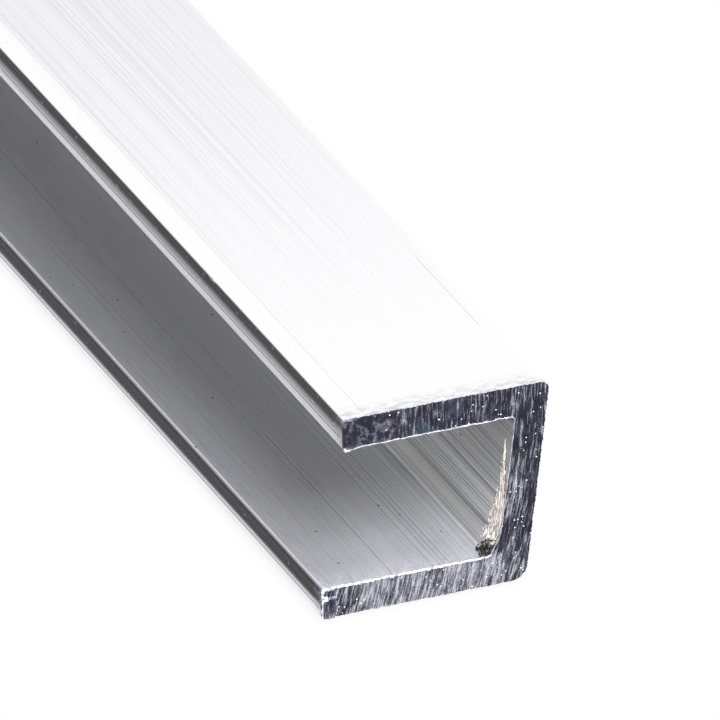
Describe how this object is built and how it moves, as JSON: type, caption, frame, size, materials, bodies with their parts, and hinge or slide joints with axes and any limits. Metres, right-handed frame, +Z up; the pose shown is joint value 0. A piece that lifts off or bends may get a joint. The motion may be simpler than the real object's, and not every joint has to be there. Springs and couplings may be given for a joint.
{
  "type": "aluminium u-channel extrusion",
  "caption": "Square-section aluminium U-channel bar in mill finish, sawn to length, with a plain web, equal flanges and an open groove for edging, guiding or framing.",
  "frame": {"origin": "middle of the rectangle that the bar covers on the floor, at the underside of the lower flange", "axes": "+X along the bar, +Y from the flange tips towards the back of the web, +Z up from the lower flange to the upper one"},
  "size_m": [1, 0.02, 0.02],
  "materials": {
    "mill_aluminium": "mill finish with fine die lines along the bar, coarse saw marks on the ends"
  },
  "bodies": {
    "root": {"u_channel": "mill_aluminium"}
  },
  "joints": []
}
